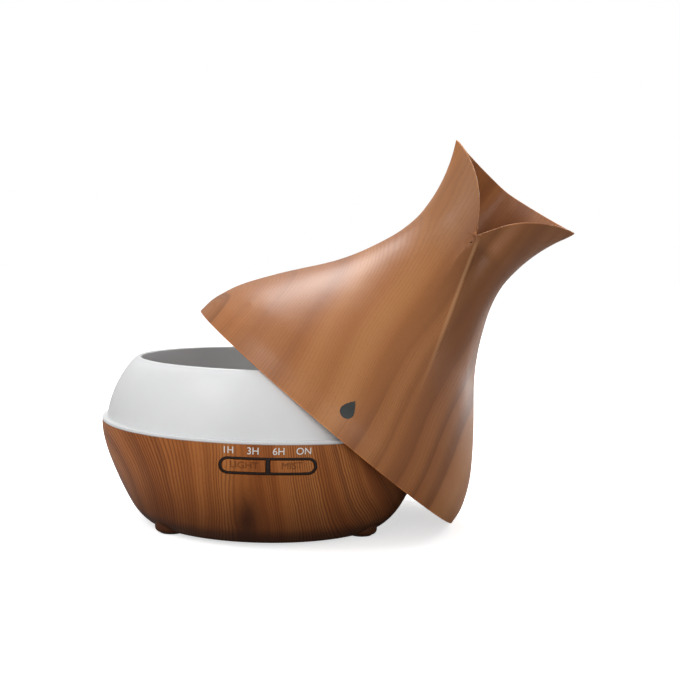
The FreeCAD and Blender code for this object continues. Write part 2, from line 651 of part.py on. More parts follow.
def make_timer_lamps():
    y = -KEY_BOARD_Y
    z = CONTROL_Z + KEY_BOARD_H / 2 - 1.2
    lamps = [box(x - 1.0, x + 1.0, y - 0.8, y, z - 0.6, z + 0.6) for x in TIMER_LAMPS]
    save("timer_lamps", group(lamps))


# Power inlet ----------------------------------------------------------------------------
def make_inlet():
    h = INLET_BODY / 2
    y1 = INLET_BOSS_IN_Y
    body = box(-h, h, y1 - INLET_BODY_L, y1, INLET_Z - h, INLET_Z + h)
    body = body.fuse(cyl_y(INLET_R, y1 - 1, INLET_OUT_Y, 0, INLET_Z)).removeSplitter()
    body = body.cut(cyl_y(INLET_BORE_R, INLET_OUT_Y - INLET_BORE_L, INLET_OUT_Y + 1, 0, INLET_Z))
    pin = cyl_y(INLET_PIN_R, INLET_OUT_Y - INLET_BORE_L, INLET_OUT_Y - 1.0, 0, INLET_Z)
    flats = []
    for i in range(6):
        flats.append(polar(5.7, 60.0 * i + 30))
    flats.append(flats[0])
    wire = Part.makePolygon([V(p.x, INLET_FACE_Y, INLET_Z + p.y) for p in flats])
    nut = Part.Face(wire).extrude(V(0, NUT_T, 0))
    nut = nut.cut(cyl_y(INLET_R + 0.02, INLET_FACE_Y - 1, INLET_OUT_Y + 3, 0, INLET_Z))
    save("power_inlet", body)
    save("power_inlet_pin", pin)
    save("power_inlet_nut", nut)


# Cover ----------------------------------------------------------------------------------
def smooth(t):
    t = min(max(t, 0.0), 1.0)
    return t * t * (3 - 2 * t)


def cover_stations(inset):
    """Radius and height of the round body, outside or inside the wall."""
    points = [(NECK_R + (COVER_R - NECK_R) * k, NECK_H * t) for t, k in COVER_CURVE]
    if not inset:
        return points
    moved = []
    for i, (r, h) in enumerate(points):
        a = points[max(i - 1, 0)]
        b = points[min(i + 1, len(points) - 1)]
        slope = (b[0] - a[0]) / (b[1] - a[1])
        wall = COVER_WALL + (COVER_TOP_WALL - COVER_WALL) * smooth((h - 60) / (NECK_H - 60))
        moved.append((r - wall * math.sqrt(1 + slope * slope), h))
    return moved


def cover_angles():
    """Angles around the cover, close together at the front crease and at the two points."""
    front = [2.0, 5.0, 9.0, 14.0, 20.0, 28.0, 38.0, 50.0, 62.0, 73.0, 82.0, 87.0]
    back = [90.0, 93.0, 98.0, 107.0, 118.0, 130.0, 142.0, 154.0, 167.0]
    side = front + back
    return [-90.0] + [-90.0 + a for a in side] + [90.0] + [270.0 - a for a in reversed(side)]


def crease(phi, h):
    """Fold down the front with a hollow on its right; both fade out towards the middle of the cover."""
    off = (phi + 270) % 360 - 180
    grown = smooth((h - CREASE_START_H) / (NECK_H - CREASE_START_H))
    ridge = CREASE_DEPTH * max(1 - abs(off) / CREASE_WIDTH, 0.0) ** 2
    hollow = 0.0
    if 0 < off < VALLEY_WIDTH:
        hollow = VALLEY_DEPTH * math.sin(math.pi * off / VALLEY_WIDTH) ** 2
    return (ridge - hollow) * grown


def lean(h):
    return -LEAN * smooth(h / NECK_H)


def edge_height(phi):
    """Height of the mouth's edge: level at the back, with a notch at the front."""
    a = math.radians(phi)
    tilt = MOUTH_RISE * math.cos(a)
    if math.sin(a) >= 0:
        return MOUTH_H + tilt
    rise = 1 - (1 - abs(math.cos(a))) ** NOTCH_CURVE
    return NOTCH_H + (MOUTH_H - NOTCH_H) * rise + tilt


def plan_point(phi, h, thin):
    """Place of a point of the mouth seen from above, on a skin moved in by the wall."""
    a = math.radians(phi)
    grown = FLARE_FULL * min((h - NECK_H) / (MOUTH_H - NECK_H), 1.0) ** FLARE_CURVE
    neck = NECK_R
    deep = MOUTH_DEEP * (1 - abs(math.cos(a)) ** MOUTH_POINT)
    x = (neck + (MOUTH_TIP_R - neck) * grown) * math.cos(a)
    y = neck * math.sin(a) * (1 - grown) + math.copysign(deep, math.sin(a)) * grown
    r = math.hypot(x, y) + crease(phi, h)
    wall = COVER_TOP_WALL * (1 + TIP_WALL * grown * abs(math.cos(a)) ** 6) if thin else 0.0
    turned = math.atan2(y, x) + math.radians(COVER_TURN)
    return V((r - wall) * math.cos(turned) + lean(h), (r - wall) * math.sin(turned), h)


def cover_rows(angles, inset):
    """Rows of points round the cover, from its lower rim up to the edge of the mouth."""
    rows = []
    for r, h in cover_stations(inset):
        row = []
        for phi in angles:
            a = math.radians(phi + COVER_TURN)
            out = r + crease(phi, h)
            row.append(V(out * math.cos(a) + lean(h), out * math.sin(a), h))
        rows.append(row)
    for t in MOUTH_STEPS:
        heights = [NECK_H + (edge_height(phi) - NECK_H) * t for phi in angles]
        rows.append([plan_point(phi, h, inset) for phi, h in zip(angles, heights)])
    return rows


def closed_skin(angles, inset):
    """Smooth surface through the rows, closed round the cover."""
    rows = cover_rows(angles, inset)
    around = [a - angles[0] for a in angles] + [360.0]
    columns = []
    for row in rows:
        ring = Part.BSplineCurve()
        ring.interpolate(Points=row, PeriodicFlag=True, Parameters=around)
        columns.append(ring)
    up = [h / MOUTH_H for r, h in cover_stations(False)]
    up += [up[-1] + (1 - up[-1]) * t for t in MOUTH_STEPS]
    poles = []
    for j in range(columns[0].NbPoles):
        line_up = Part.BSplineCurve()
        line_up.interpolate(Points=[c.getPole(j + 1) for c in columns], Parameters=up)
        poles.append(line_up)
    surface = Part.BSplineSurface()
    surface.buildFromPolesMultsKnots(
        [c.getPoles() for c in poles], columns[0].getMultiplicities(),
        poles[0].getMultiplicities(), columns[0].getKnots(), poles[0].getKnots(),
        True, False, columns[0].Degree, poles[0].Degree)
    return surface


def make_cover():
    angles = cover_angles()
    outer = closed_skin(angles, False)
    inner = closed_skin(angles, True)
    faces = [outer.toShape(), inner.toShape()]
    for end in (0, 1):
        o = outer.vIso(outer.bounds()[2 + end])
        i = inner.vIso(inner.bounds()[2 + end])
        faces.append(Part.makeRuledSurface(o.toShape(), i.toShape()))
    shell = Part.makeShell(faces)
    shell.sewShape(0.01)
    solid = Part.makeSolid(shell.Shells[0])
    if solid.Volume < 0:
        solid.reverse()
    return solid


def lay_cover(shape):
    """Turn the cover from its own upright frame to where it leans on the tank."""
    a, b = math.radians(COVER_TILT), math.radians(COVER_BACK_TILT)
    axis = V(math.sin(a) * math.cos(b), math.sin(b), math.cos(a) * math.cos(b))
    right = V(0, 1, 0).cross(axis)
    right.normalize()
    back = axis.cross(right)
    height = TABLE_GAP + COVER_R * math.sqrt(1 - axis.z ** 2)
    m = FreeCAD.Matrix(right.x, back.x, axis.x, COVER_X, right.y, back.y, axis.y, COVER_Y,
                       right.z, back.z, axis.z, height, 0, 0, 0, 1)
    placed = shape.copy()
    placed.Placement = FreeCAD.Placement(m)
    return placed


os.makedirs("parts", exist_ok=True)
save("base_shell", make_bowl())
save("foot_pads", make_pads())
save("bottom_plate", make_plate())
seat_z = BOWL_BOTTOM_Z + SCREW_HEAD_T
save("bottom_screws", group([screw(p.x, p.y, seat_z, BASE_SCREW_L, SCREW_R, SCREW_HEAD_R, 0.9)
                             for p in post_places()]))
save("water_tank", make_tank())
save("air_duct", make_duct())
save("air_duct_cap", make_cap())
make_mist_maker()
make_fan()
make_boards()
make_light_ring()
make_controls()
make_key_board()
make_timer_lamps()
make_inlet()
save("cover", lay_cover(make_cover()))
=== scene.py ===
import json
import math

import bpy
from mathutils import Matrix, Vector

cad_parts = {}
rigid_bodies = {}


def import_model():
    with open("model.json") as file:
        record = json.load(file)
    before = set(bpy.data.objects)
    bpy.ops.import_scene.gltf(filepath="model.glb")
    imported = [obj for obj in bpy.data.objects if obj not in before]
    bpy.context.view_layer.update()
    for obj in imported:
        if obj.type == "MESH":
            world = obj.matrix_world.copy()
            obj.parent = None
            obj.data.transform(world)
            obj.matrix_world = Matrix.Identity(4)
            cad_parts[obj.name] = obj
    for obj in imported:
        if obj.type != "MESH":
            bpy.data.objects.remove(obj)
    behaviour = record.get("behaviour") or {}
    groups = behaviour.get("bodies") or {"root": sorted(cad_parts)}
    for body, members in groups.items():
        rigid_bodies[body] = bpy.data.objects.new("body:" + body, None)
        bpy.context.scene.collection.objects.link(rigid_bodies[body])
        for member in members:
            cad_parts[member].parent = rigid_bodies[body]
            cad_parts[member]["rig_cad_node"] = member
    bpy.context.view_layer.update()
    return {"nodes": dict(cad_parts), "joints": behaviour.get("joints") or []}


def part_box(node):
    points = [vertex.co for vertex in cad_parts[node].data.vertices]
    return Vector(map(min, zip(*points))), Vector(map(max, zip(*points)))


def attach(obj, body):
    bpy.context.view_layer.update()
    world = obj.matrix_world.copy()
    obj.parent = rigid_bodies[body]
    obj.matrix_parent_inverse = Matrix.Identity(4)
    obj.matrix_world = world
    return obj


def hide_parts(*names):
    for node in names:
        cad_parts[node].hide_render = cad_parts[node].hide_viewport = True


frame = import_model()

# Essential oil diffuser: wood-look bowl with a white water tank, and the vase-shaped cover that
# leans on it. Metres, with the origin on the base's axis at the table; the buttons face -Y.

bpy.ops.object.select_all(action="DESELECT")

MM = 0.001

# Camera
CAMERA_PLACE = (0.0, -0.6066, 0.1382)
CAMERA_TURN = (85.70, -1.535, -3.228)
CAMERA_LENS = 62.91

# Light: how bright the surroundings are as light, and as the background
AMBIENT = 0.42
BACKGROUND = 1.0
FLOOR_R = 6.0
FLOOR_GLOW = 0.62
KEY_WAY = (-0.66, -0.50, 0.50)
KEY_STRENGTH = 0.78
KEY_SPREAD = 60.0          # degrees
MIDDLE = (0.03, 0.0, 0.08)
# softboxes: name, place, what they face, width and height, watts
SOFTBOXES = (
    ("top_light", (0.0, 0.65, 1.15), MIDDLE, (0.6, 0.5), 9.5),
    ("back_light", (0.95, 1.05, 0.25), (0.09, 0.0, 0.10), (0.5, 1.1), 11.0),
    ("front_light", (0.4, -1.25, 0.3), MIDDLE, (0.7, 0.5), 2.5),
    ("tank_light", (-0.42, -0.30, 0.62), (-0.02, 0.03, 0.07), (0.2, 0.2), 0.9),
)

# The cover's own frame: its rim's centre and its axis, as it leans on the tank
LIFT = next(joint for joint in frame["joints"] if joint["name"] == "cover_lift")
COVER_AXIS = Vector(LIFT["axis"]).normalized()
COVER_RIGHT = Vector((0, 1, 0)).cross(COVER_AXIS).normalized()
COVER_BACK = COVER_AXIS.cross(COVER_RIGHT)
COVER_FRAME = Matrix((COVER_RIGHT, COVER_BACK, COVER_AXIS)).transposed()

SHELL_LOW, SHELL_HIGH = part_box("base_shell")
BOWL_R = SHELL_HIGH.x
LEDGE_Z = SHELL_HIGH.z
COVER_RIM = Vector((0.02935, 0.00127, LEDGE_Z + 0.00174))

# Fold down the cover's front, in millimetres in the cover's frame: its top and its foot, the
# height where it is full, how far beside the cover's middle it starts, and how it leans to the right
FOLD_TOP = 117.0
FOLD_FOOT = 28.0
FOLD_FULL = 85.0
FOLD_X = -2.0
FOLD_LEAN = 0.38
FOLD_EASE = 0.0014
HOLLOW_WIDTH = 5.0         # from the fold's crest to the deepest part of the hollow beside it

# Edges of the cover: the foot of the notch in its front, in the cover's frame, and the heights
# above the rim between which no edge is rounded
NOTCH_FOOT = Vector((-4.67, -29.95, 112.06)) * MM
NOTCH_REACH = 3.4 * MM
EDGE_FREE = (5 * MM, 115.7 * MM)
SHARP = 50                 # degrees, for the edges that are rounded
COVER_ROUND = 0.40 * MM
CAP_ROUND = 0.18 * MM
FRAME_ROUND = 0.12 * MM

# Wood tones: how light each is along the range of its broad pattern
COVER_TONES = ((0.30, (0.250, 0.086, 0.025)), (0.45, (0.325, 0.122, 0.037)),
               (0.58, (0.380, 0.155, 0.051)), (0.75, (0.425, 0.187, 0.068)))
BOWL_TONES = ((0.30, (0.330, 0.092, 0.019)), (0.47, (0.430, 0.134, 0.031)),
              (0.62, (0.510, 0.175, 0.045)), (0.78, (0.560, 0.208, 0.058)))
KNOT_X = -9.0              # the knot in the bowl's front, in millimetres
KNOT_Z = 14.0
KNOT_R = 10.0

# Marks: timer settings over the buttons, words on the buttons, and a drop on the cover
CAPITAL_SHARE = 0.73       # a capital's height in the lettering's size
TIMER_MARKS = (("1H", -18.3 * MM), ("3H", -6.8 * MM), ("6H", 4.7 * MM), ("ON", 16.2 * MM))
TIMER_HEIGHT = 3.4 * MM
TIMER_DROP = 2.9 * MM      # below the ledge
WORD_HEIGHT = 3.5 * MM
DROP_R = 3.4 * MM
DROP_HEIGHT = 12.0 * MM    # above the cover's rim
DROP_TURN = -3.0           # degrees from the cover's front
DROP_CUTS = range(-4, 9)   # cuts across it, a quarter of its radius apart
# how the drop is drawn out: from which height, how much narrower and longer; heights in radii
DROP_RISES = ((0.0, 1.0, 2.1), (0.35, 0.92, 1.0), (0.75, 0.86, 1.0), (1.15, 0.78, 1.0),
              (1.5, 0.66, 1.0), (1.8, 0.5, 1.0))
INK_T = 0.08 * MM
WORD_T = 0.12 * MM


# Stage ------------------------------------------------------------------------------------------
def set_camera():
    lens = bpy.data.cameras.new("camera")
    lens.lens = CAMERA_LENS
    lens.sensor_width = 36.0
    camera = bpy.data.objects.new("camera", lens)
    camera.location = CAMERA_PLACE
    camera.rotation_euler = [math.radians(a) for a in CAMERA_TURN]
    bpy.context.scene.collection.objects.link(camera)
    bpy.context.scene.camera = camera


def soft_light(name, place, target, size, power):
    """A softbox that faces its target."""
    lamp = bpy.data.lights.new(name, "AREA")
    lamp.shape = "RECTANGLE"
    lamp.size, lamp.size_y = size
    lamp.energy = power
    box = bpy.data.objects.new(name, lamp)
    box.location = place
    box.rotation_euler = (Vector(target) - Vector(place)).to_track_quat("-Z", "Y").to_euler()
    bpy.context.scene.collection.objects.link(box)


def sky_light(name, direction, strength, spread):
    """Even light over the whole stage from one side, soft by its spread in degrees."""
    lamp = bpy.data.lights.new(name, "SUN")
    lamp.energy = strength
    lamp.angle = math.radians(spread)
    sun = bpy.data.objects.new(name, lamp)
    sun.rotation_euler = (-Vector(direction)).to_track_quat("-Z", "Y").to_euler()
    bpy.context.scene.collection.objects.link(sun)


def set_stage():
    """White surroundings, dimmer as light than as background, with the lamps of the studio."""
    world = bpy.data.worlds.new("studio")
    world.use_nodes = True
    tree = world.node_tree
    glow = tree.nodes["Background"]
    glow.inputs["Color"].default_value = (1.0, 1.0, 1.0, 1.0)
    rays = tree.nodes.new("ShaderNodeLightPath")
    level = tree.nodes.new("ShaderNodeMapRange")
    level.inputs["To Min"].default_value = AMBIENT
    level.inputs["To Max"].default_value = BACKGROUND
    tree.links.new(rays.outputs["Is Camera Ray"], level.inputs["Value"])
    tree.links.new(level.outputs["Result"], glow.inputs["Strength"])
    bpy.context.scene.world = world
    bpy.context.scene.view_settings.view_transform = "Standard"
    sky_light("key_light", KEY_WAY, KEY_STRENGTH, KEY_SPREAD)
    for softbox in SOFTBOXES:
        soft_light(*softbox)


def lay_floor(finish):
    """A wide round floor at the table's height."""
    bpy.ops.mesh.primitive_circle_add(vertices=96, radius=FLOOR_R, fill_type="NGON")
    floor = bpy.context.object
    floor.name = "floor"
    floor.data.materials.append(finish.material)
    bpy.ops.object.select_all(action="DESELECT")


# Shader maths -------------------------------------------------------------------------------------
class Val:
    """A number from a finish's nodes. Sums, products and powers of it add Math nodes."""

    def __init__(self, finish, socket):
        self.finish = finish
        self.socket = socket

    def math(self, operation, *others):
        sockets = dict(enumerate((self, *others)))
        return self.finish.add("ShaderNodeMath", {"operation": operation}, sockets)

    def flipped(self, operation, other):
        return self.finish.add("ShaderNodeMath", {"operation": operation}, {0: other, 1: self})

    def __add__(self, other):
        return self.math("ADD", other)

    def __radd__(self, other):
        return self.math("ADD", other)

    def __sub__(self, other):
        return self.math("SUBTRACT", other)

    def __rsub__(self, other):
        return self.flipped("SUBTRACT", other)

    def __mul__(self, other):
        return self.math("MULTIPLY", other)

    def __rmul__(self, other):
        return self.math("MULTIPLY", other)

    def __truediv__(self, other):
        return self.math("DIVIDE", other)

    def __rtruediv__(self, other):
        return self.flipped("DIVIDE", other)

    def __pow__(self, other):
        return self.math("POWER", other)

    def fraction(self):
        return self.math("FRACT")

    def sine(self):
        return self.math("SINE")

    def exponent(self):
        return self.math("EXPONENT")

    def between(self, low, high, start=0.0, end=1.0):
        """start where the number is low, end where it is high, with a smooth change."""
        sockets = {0: self, 1: low, 2: high, 3: start, 4: end}
        return self.finish.add("ShaderNodeMapRange", {"interpolation_type": "SMOOTHSTEP"}, sockets)


class Finish:
    """One material: its nodes, and the places that a pattern is worked out from."""

    def __init__(self, name, **constants):
        self.material = bpy.data.materials.new(name)
        self.material.use_nodes = True
        self.tree = self.material.node_tree
        self.shader = self.tree.nodes["Principled BSDF"]
        for key, value in constants.items():
            self.shader.inputs[key.replace("_", " ")].default_value = value

    def add(self, kind, settings=None, sockets=None, out=0):
        """Add a node: its settings first, then the values or links of its sockets."""
        node = self.tree.nodes.new(kind)
        for key, value in (settings or {}).items():
            if key == "stops":
                self.set_stops(node.color_ramp, value)
            else:
                setattr(node, key, value)
        for key, value in (sockets or {}).items():
            self.feed(node.inputs[key], value)
        return Val(self, node.outputs[out])

    def feed(self, socket, value):
        if isinstance(value, Val):
            self.tree.links.new(value.socket, socket)
        else:
            socket.default_value = value

    def set_stops(self, ramp, stops):
        while len(ramp.elements) < len(stops):
            ramp.elements.new(0.5)
        for element, (place, colour) in zip(ramp.elements, stops):
            element.position = place
            element.color = (*colour, 1.0)

    def place(self, centre=(0, 0, 0), turn=(0, 0, 0)):
        """Coordinates in millimetres about a centre, in a frame turned with the piece."""
        here = self.add("ShaderNodeTexCoord", out="Object")
        sockets = {"Vector": here, "Location": centre, "Rotation": turn, "Scale": (MM, MM, MM)}
        return self.add("ShaderNodeMapping", {"vector_type": "TEXTURE"}, sockets)

    def split(self, vector):
        node = self.add("ShaderNodeSeparateXYZ", {}, {0: vector}).socket.node
        return [Val(self, socket) for socket in node.outputs]

    def join(self, x, y, z):
        return self.add("ShaderNodeCombineXYZ", {}, {0: x, 1: y, 2: z})

    def noise(self, vector, scale, detail=3.0, rough=0.5):
        sockets = {"Vector": vector, "Scale": scale, "Detail": detail, "Roughness": rough}
        return self.add("ShaderNodeTexNoise", {}, sockets)

    def ramp(self, value, stops):
        return self.add("ShaderNodeValToRGB", {"stops": stops}, {0: value})

    def blend(self, share, first, second):
        return self.add("ShaderNodeMix", {"data_type": "RGBA"}, {0: share, 6: first, 7: second}, out=2)

    def tones(self, value, stops, bright):
        """A ramp of wood tones, all made lighter or darker by one number."""
        return self.ramp(value, [(place, [c * bright for c in tone]) for place, tone in stops])

    def bump(self, height, depth, strength=1.0):
        return self.add("ShaderNodeBump", {}, {"Height": height, "Distance": depth, "Strength": strength})

    def finish(self, **sockets):
        for key, value in sockets.items():
            self.feed(self.shader.inputs[key.replace("_", " ")], value)
        return self


# Wood ---------------------------------------------------------------------------------------------
def fine_lines(wood, layer, across, along, spacing, seed):
    """Fine growth lines across a layer coordinate, uneven in width and strength."""
    drift = wood.noise(wood.join(layer, across * 0.12, along * 0.02 + seed), 0.09, 2.0)
    phase = (layer + drift * (spacing * 4.0)) * (2 * math.pi / spacing)
    wave = phase.sine() * 0.5 + 0.5
    strength = wood.noise(wood.join(layer * 0.7, across * 0.1, along * 0.03 + seed), 0.12, 3.0)
    return (wave ** 2.0) * strength.between(0.32, 0.68, 0.2, 1.0)


def year_bands(wood, layer, across, along, spacing, seed):
    """Broad growth bands that darken slowly and end in a sharp edge."""
    drift = wood.noise(wood.join(layer, across * 0.05, along * 0.03 + seed), 0.03, 2.0)
    phase = (layer / spacing + drift * 3.0).fraction()
    edge = phase.between(0.45, 0.93) * phase.between(1.0, 0.95)
    strength = wood.noise(wood.join(layer * 0.5, across * 0.05, along * 0.04 + seed), 0.06, 2.0)
    return edge * strength.between(0.42, 0.66, 0.0, 1.0)


def pores(wood, layer, across, along, seed):
    """Short dark pores drawn out along the grain."""
    path = wood.join(layer * 2.2, across * 2.2, along * 0.09 + seed)
    return wood.noise(path, 0.9, 3.0, 0.65).between(0.52, 0.74)


def cover_fold(x, y, z):
    """The fold down the cover's front: the hollow beside it, and its crest."""
    down = FOLD_TOP - z
    off = x - down * (FOLD_LEAN - down * FOLD_EASE) - FOLD_X
    strength = z.between(FOLD_FOOT, FOLD_FULL) * down.between(-2.0, 6.0) * y.between(-2.0, -14.0)
    share = off / HOLLOW_WIDTH
    hollow = off.between(0.0, 1.0) * share * (1.0 - share).exponent() * strength
    crest = off.between(-2.4, -1.2) * off.between(0.3, -0.6) * strength
    return hollow, crest


def cover_wood(name, bright):
    """Pale straight-grained wood, with the fold's bump worked into it, painted shade in the fold's hollow
    and on the upper front, and a painted highlight along the fold's crest.
    """
    wood = Finish(name, Roughness=0.42, Specular_IOR_Level=0.42)
    x, y, z = wood.split(wood.place(COVER_RIM, COVER_FRAME.to_euler()))
    sway = wood.noise(wood.join(x * 0.5, y * 0.5, z * 0.3), 0.016, 1.0) - 0.5
    ripple = wood.noise(wood.join(x, y, z * 0.35), 0.11, 2.0) - 0.5
    layer = x + z * 0.1 + y * 0.12 + sway * 46.0 + ripple * 1.4
    broad = wood.noise(wood.join(layer, y * 0.03, z * 0.02 + 31.0), 0.05, 2.0, 0.45)
    bands = year_bands(wood, layer, y, z, 14.0, 3.0)
    lines = fine_lines(wood, layer, y, z, 1.45, 4.0)
    pore = pores(wood, layer, y, z, 9.0)
    hollow, crest = cover_fold(x, y, z)
    colour = wood.tones(broad, COVER_TONES, bright)
    colour = wood.blend(bands * 0.48, colour, (0.160, 0.050, 0.013, 1.0))
    colour = wood.blend(lines * 0.20, colour, (0.180, 0.058, 0.016, 1.0))
    colour = wood.blend(pore * 0.24, colour, (0.150, 0.046, 0.013, 1.0))
    # painted shade: the cover's front is darkened towards the neck, and its back half is left as it is
    upper = z.between(60.0, 138.0, 0.0, 0.42) * y.between(4.0, -10.0)
    colour = wood.blend(upper, colour, (0.120, 0.045, 0.016, 1.0))
    # painted shade darkens the hollow beside the fold, and a painted highlight lightens its crest
    colour = wood.blend(hollow * 0.55, colour, (0.110, 0.036, 0.011, 1.0))
    colour = wood.blend(crest * 0.45, colour, (0.640, 0.350, 0.170, 1.0))
    height = (lines * -0.5 - pore * 0.3 - bands * 0.2) * 0.02 - hollow * 1.1 + crest * 0.25
    rough = 0.40 + lines * 0.05 + pore * 0.06
    return wood.finish(Base_Color=colour, Roughness=rough, Normal=wood.bump(height, MM, 1.0))


def bowl_wood(name="bowl_wood", bright=1.0, shade=0.62):
    """Redder wood with a knot at the front, darkened towards the table and more at its feet by painted
    shade, as strong as the shade given.
    """
    wood = Finish(name, Roughness=0.45, Specular_IOR_Level=0.25)
    x, y, z = wood.split(wood.place())
    front = y.between(-30.0, -50.0)
    dx = x - KNOT_X
    dz = (z - KNOT_Z) * 0.45
    apart = dx * dx + dz * dz
    pushed = (apart + 5.0) / (apart + KNOT_R ** 2)
    x_round = (dx * pushed + KNOT_X) * front + x * (1.0 - front)
    slant = ((x + 15.0) / 55.0) ** 2.0 * 0.36 + 0.10
    sway = wood.noise(wood.join(x * 0.6, y * 0.6, z * 0.4), 0.03, 1.0) - 0.5
    ripple = wood.noise(wood.join(x, y, z * 0.35), 0.14, 2.0) - 0.5
    layer = x_round + slant * (z - 25.0) + y * 0.10 + sway * 12.0 + ripple * 1.2
    lines = fine_lines(wood, layer, y, z, 1.35, 2.0)
    broad = wood.noise(wood.join(layer, y * 0.05, z * 0.04), 0.10, 3.0, 0.5)
    bands = year_bands(wood, layer, y, z, 9.0, 13.0)
    pore = pores(wood, layer, y, z, 5.0)
    colour = wood.tones(broad, BOWL_TONES, bright)
    colour = wood.blend(bands * 0.45, colour, (0.120, 0.030, 0.009, 1.0))
    colour = wood.blend(lines * 0.74, colour, (0.120, 0.028, 0.006, 1.0))
    colour = wood.blend(pore * 0.25, colour, (0.080, 0.020, 0.006, 1.0))
    knot = (apart * (-1.0 / 34.0)).exponent() * front
    colour = wood.blend(knot * 0.85, colour, (0.040, 0.010, 0.004, 1.0))
    # painted shade: the bowl darkened towards the table, and more again near its feet
    colour = wood.blend(z.between(36.0, 1.0, 0.0, shade), colour, (0.045, 0.011, 0.004, 1.0))
    colour = wood.blend(z.between(11.0, 5.0, 0.0, shade * 0.9), colour, (0.020, 0.006, 0.003, 1.0))
    height = 1.0 - lines * 0.6 - pore * 0.2 - bands * 0.2
    rough = 0.42 + lines * 0.08
    return wood.finish(Base_Color=colour, Roughness=rough, Normal=wood.bump(height, 0.00006, 0.5))


# Plastics, metals and boards ------------------------------------------------------------------------
def moulded(name, colour, rough, grain=0.25, speck=1.0, **constants):
    """Moulded plastic or rubber: faint mottling, and a fine spark-eroded grain."""
    plastic = Finish(name, **constants)
    here = plastic.place()
    mottle = plastic.noise(here, 0.05, 3.0)
    fine = plastic.noise(here, 2.2, 2.0)
    light = tuple(min(c * (1.0 + 0.10 * speck), 1.0) for c in colour)
    dark = tuple(c * (1.0 - 0.10 * speck) for c in colour)
    shade = plastic.ramp(mottle, ((0.3, dark), (0.7, light)))
    roughness = fine * 0.10 + (rough - 0.05)
    return plastic.finish(Base_Color=shade, Roughness=roughness, Normal=plastic.bump(fine, 0.00004, grain))


def metal(name, colour, rough, brushed=0.0):
    """Bare metal with fine streaks along Y, the more so where it is brushed."""
    steel = Finish(name, Metallic=1.0)
    x, y, z = steel.split(steel.place())
    streaks = steel.noise(steel.join(x, y * (1.0 - brushed) + y * 0.05, z), 1.6, 3.0)
    light = tuple(min(c * 1.08, 1.0) for c in colour)
    dark = tuple(c * 0.86 for c in colour)
    shade = steel.ramp(streaks, ((0.3, dark), (0.7, light)))
    return steel.finish(Base_Color=shade, Roughness=streaks * 0.16 + (rough - 0.08))


def circuit_board(name, colour, track):
    """Lacquered board with the copper tracks showing through as paler lines."""
    board = Finish(name, Specular_IOR_Level=0.5)
    here = board.place()
    sockets = {"Vector": here, "Scale": 0.42, "Mortar Size": 0.035, "Mortar Smooth": 0.1}
    for key in ("Color1", "Color2"):
        sockets[key] = (*colour, 1.0)
    sockets["Mortar"] = (*track, 1.0)
    tracks = board.add("ShaderNodeTexBrick", {"offset": 0.3, "squash": 1.6}, sockets)
    mottle = board.noise(here, 0.3, 3.0)
    shade = board.blend(mottle * 0.35, tracks, (*(c * 0.5 for c in colour), 1.0))
    return board.finish(Base_Color=shade, Roughness=mottle * 0.1 + 0.3)


def milky_white(name, colour, rough):
    """White plastic that lets a little light through."""
    white = moulded(name, colour, rough, 0.12, 0.15, Subsurface_Weight=0.25, Subsurface_Scale=0.004)
    white.shader.inputs["Subsurface Radius"].default_value = (1.0, 0.95, 0.9)
    return white


def pale_floor():
    """Pale paper that throws less light up than it shows, so the bowl's underside stays dark."""
    paper = Finish("pale_paper", Specular_IOR_Level=0.1)
    fibre = paper.noise(paper.place(), 0.4, 3.0)
    shade = paper.ramp(fibre, ((0.2, (0.90, 0.90, 0.90)), (0.8, (0.93, 0.93, 0.93))))
    paper.shader.inputs["Emission Color"].default_value = (1.0, 1.0, 1.0, 1.0)
    paper.shader.inputs["Emission Strength"].default_value = FLOOR_GLOW
    paper.finish(Base_Color=shade, Roughness=fibre * 0.1 + 0.8)
    dull = paper.add("ShaderNodeBsdfDiffuse", {}, {"Color": (0.35, 0.345, 0.34, 1.0)})
    seen = paper.add("ShaderNodeLightPath")
    shown = Val(paper, paper.shader.outputs[0])
    both = paper.add("ShaderNodeMixShader", {}, {0: seen, 1: dull, 2: shown})
    paper.tree.links.new(both.socket, paper.tree.nodes["Material Output"].inputs["Surface"])
    return paper


def dress(finish, *nodes):
    """Give CAD pieces their finish."""
    for node in nodes:
        for slot in frame["nodes"][node].material_slots:
            slot.link = "OBJECT"
            slot.material = finish.material


